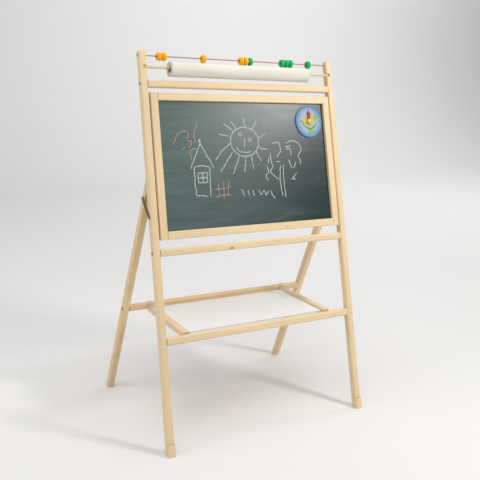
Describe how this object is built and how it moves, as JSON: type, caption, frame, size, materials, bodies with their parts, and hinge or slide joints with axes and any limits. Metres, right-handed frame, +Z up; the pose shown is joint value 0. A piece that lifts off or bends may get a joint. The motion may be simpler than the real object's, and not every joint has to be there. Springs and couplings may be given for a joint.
{
  "type": "standing easel",
  "caption": "Folding wooden standing easel with a framed writing board, a paper roll on a dowel, sliding counting beads, a toy clock and a low shelf",
  "frame": {"origin": "centre of the base of the bounding box, on the floor", "axes": "+X to the right of someone facing the board, +Y towards the rear legs, +Z up"},
  "size_m": [0.6078, 0.4182, 0.9506],
  "materials": {
    "pine": "satin clear coat",
    "steel": "dull",
    "stay_steel": "dark",
    "brass": "plain",
    "rod": "coated wire",
    "yellow_bead": "gloss paint",
    "green_bead": "gloss paint",
    "board": "matt writing surface on fibre board",
    "shelf_white": "white faced fibre board",
    "paper": "uncoated",
    "card": "plain",
    "dial": "printed",
    "knob": "gloss",
    "hour": "plain",
    "minute": "plain"
  },
  "bodies": {
    "front_frame": {"bead_rod": "rod", "board_pin_left_high": "pine", "board_pin_left_low": "pine", "board_pin_right_high": "pine", "board_pin_right_low": "pine", "board_rail_bottom": "pine", "board_rail_top": "pine", "board_stile_left": "pine", "board_stile_right": "pine", "clock_dial": "dial", "clock_knob": "knob", "hinge_post_leaf_left": "brass", "hinge_post_leaf_right": "brass", "middle_rail": "pine", "middle_rail_screw_left": "steel", "middle_rail_screw_right": "steel", "post_left": "pine", "post_right": "pine", "shelf_front_rail": "pine", "stay_post_screw_left": "steel", "stay_post_screw_right": "steel", "top_rail": "pine", "top_rail_screw_left": "steel", "top_rail_screw_right": "steel", "writing_board": "board"},
    "rear_frame": {"hinge_leg_leaf_left": "brass", "hinge_leg_leaf_right": "brass", "rear_leg_left": "pine", "rear_leg_right": "pine", "rear_rail": "pine", "rear_rail_screw_left": "steel", "rear_rail_screw_right": "steel", "shelf_hinge_rail_leaf_left": "brass", "shelf_hinge_rail_leaf_right": "brass", "stay_leg_screw_left": "steel", "stay_leg_screw_right": "steel"},
    "shelf": {"shelf_side_left": "pine", "shelf_side_right": "pine", "shelf_panel": "shelf_white", "shelf_hinge_leaf_left": "brass", "shelf_hinge_leaf_right": "brass"},
    "stay_left": {"stay_left": "stay_steel"},
    "stay_right": {"stay_right": "stay_steel"},
    "roll_dowel": {"roll_dowel": "pine"},
    "paper_roll": {"paper_roll": "paper", "roll_core": "card"},
    "hour_hand": {"hour_hand": "hour"},
    "minute_hand": {"minute_hand": "minute"},
    "bead_01_yellow": {"bead_01_yellow": "yellow_bead"},
    "bead_02_yellow": {"bead_02_yellow": "yellow_bead"},
    "bead_03_yellow": {"bead_03_yellow": "yellow_bead"},
    "bead_04_yellow": {"bead_04_yellow": "yellow_bead"},
    "bead_05_yellow": {"bead_05_yellow": "yellow_bead"},
    "bead_06_green": {"bead_06_green": "green_bead"},
    "bead_07_green": {"bead_07_green": "green_bead"},
    "bead_08_green": {"bead_08_green": "green_bead"},
    "bead_09_green": {"bead_09_green": "green_bead"},
    "bead_10_green": {"bead_10_green": "green_bead"}
  },
  "joints": [
    {"name": "rear_leg_fold", "type": "hinge", "parent": "front_frame", "child": "rear_frame", "pos_m": [0, -0.03097, 0.60742], "axis": [-1, 0, 0], "range_deg": [0, 30]},
    {"name": "shelf_fold", "type": "hinge", "parent": "rear_frame", "child": "shelf", "pos_m": [0, 0.08991, 0.2735], "axis": [-1, 0, 0], "range_deg": [0, 60]},
    {"name": "stay_left_turn", "type": "hinge", "parent": "front_frame", "child": "stay_left", "pos_m": [0, -0.05509, 0.55167], "axis": [1, 0, 0], "range_deg": [0, 3.41]},
    {"name": "stay_right_turn", "type": "hinge", "parent": "front_frame", "child": "stay_right", "pos_m": [0, -0.05509, 0.55167], "axis": [1, 0, 0], "range_deg": [0, 3.41]},
    {"name": "roll_dowel_lift", "type": "slide", "parent": "front_frame", "child": "roll_dowel", "axis": [0, -0.9686, 0.2487], "range_m": [0, 0.08]},
    {"name": "paper_roll_spin", "type": "hinge", "parent": "roll_dowel", "child": "paper_roll", "pos_m": [-0.0023, 0.03402, 0.90759], "axis": [1, 0, 0], "continuous": true},
    {"name": "hour_hand_turn", "type": "hinge", "parent": "front_frame", "child": "hour_hand", "pos_m": [0.206, 0.00276, 0.78099], "axis": [0, 0.9686, -0.2487], "continuous": true},
    {"name": "minute_hand_turn", "type": "hinge", "parent": "front_frame", "child": "minute_hand", "pos_m": [0.206, 0.00276, 0.78099], "axis": [0, 0.9686, -0.2487], "continuous": true},
    {"name": "bead_01_yellow_slide", "type": "slide", "parent": "front_frame", "child": "bead_01_yellow", "axis": [1, 0, 0], "range_m": [-0.0312, 0.0007]},
    {"name": "bead_02_yellow_slide", "type": "slide", "parent": "front_frame", "child": "bead_02_yellow", "axis": [1, 0, 0], "range_m": [-0.0007, 0.0997]},
    {"name": "bead_03_yellow_slide", "type": "slide", "parent": "front_frame", "child": "bead_03_yellow", "axis": [1, 0, 0], "range_m": [-0.0997, 0.102]},
    {"name": "bead_04_yellow_slide", "type": "slide", "parent": "front_frame", "child": "bead_04_yellow", "axis": [1, 0, 0], "range_m": [-0.102, 0.0007]},
    {"name": "bead_05_yellow_slide", "type": "slide", "parent": "front_frame", "child": "bead_05_yellow", "axis": [1, 0, 0], "range_m": [-0.0007, 0.0007]},
    {"name": "bead_06_green_slide", "type": "slide", "parent": "front_frame", "child": "bead_06_green", "axis": [1, 0, 0], "range_m": [-0.0007, 0.0919]},
    {"name": "bead_07_green_slide", "type": "slide", "parent": "front_frame", "child": "bead_07_green", "axis": [1, 0, 0], "range_m": [-0.0919, 0.0007]},
    {"name": "bead_08_green_slide", "type": "slide", "parent": "front_frame", "child": "bead_08_green", "axis": [1, 0, 0], "range_m": [-0.0007, 0.0007]},
    {"name": "bead_09_green_slide", "type": "slide", "parent": "front_frame", "child": "bead_09_green", "axis": [1, 0, 0], "range_m": [-0.0007, 0.0479]},
    {"name": "bead_10_green_slide", "type": "slide", "parent": "front_frame", "child": "bead_10_green", "axis": [1, 0, 0], "range_m": [-0.0479, 0.0525]}
  ],
  "couplings": [
    {"joint": "shelf_fold", "follows": "rear_leg_fold", "ratio": 2},
    {"joint": "stay_left_turn", "follows": "rear_leg_fold", "ratio": 0.112},
    {"joint": "stay_right_turn", "follows": "rear_leg_fold", "ratio": 0.112}
  ]
}
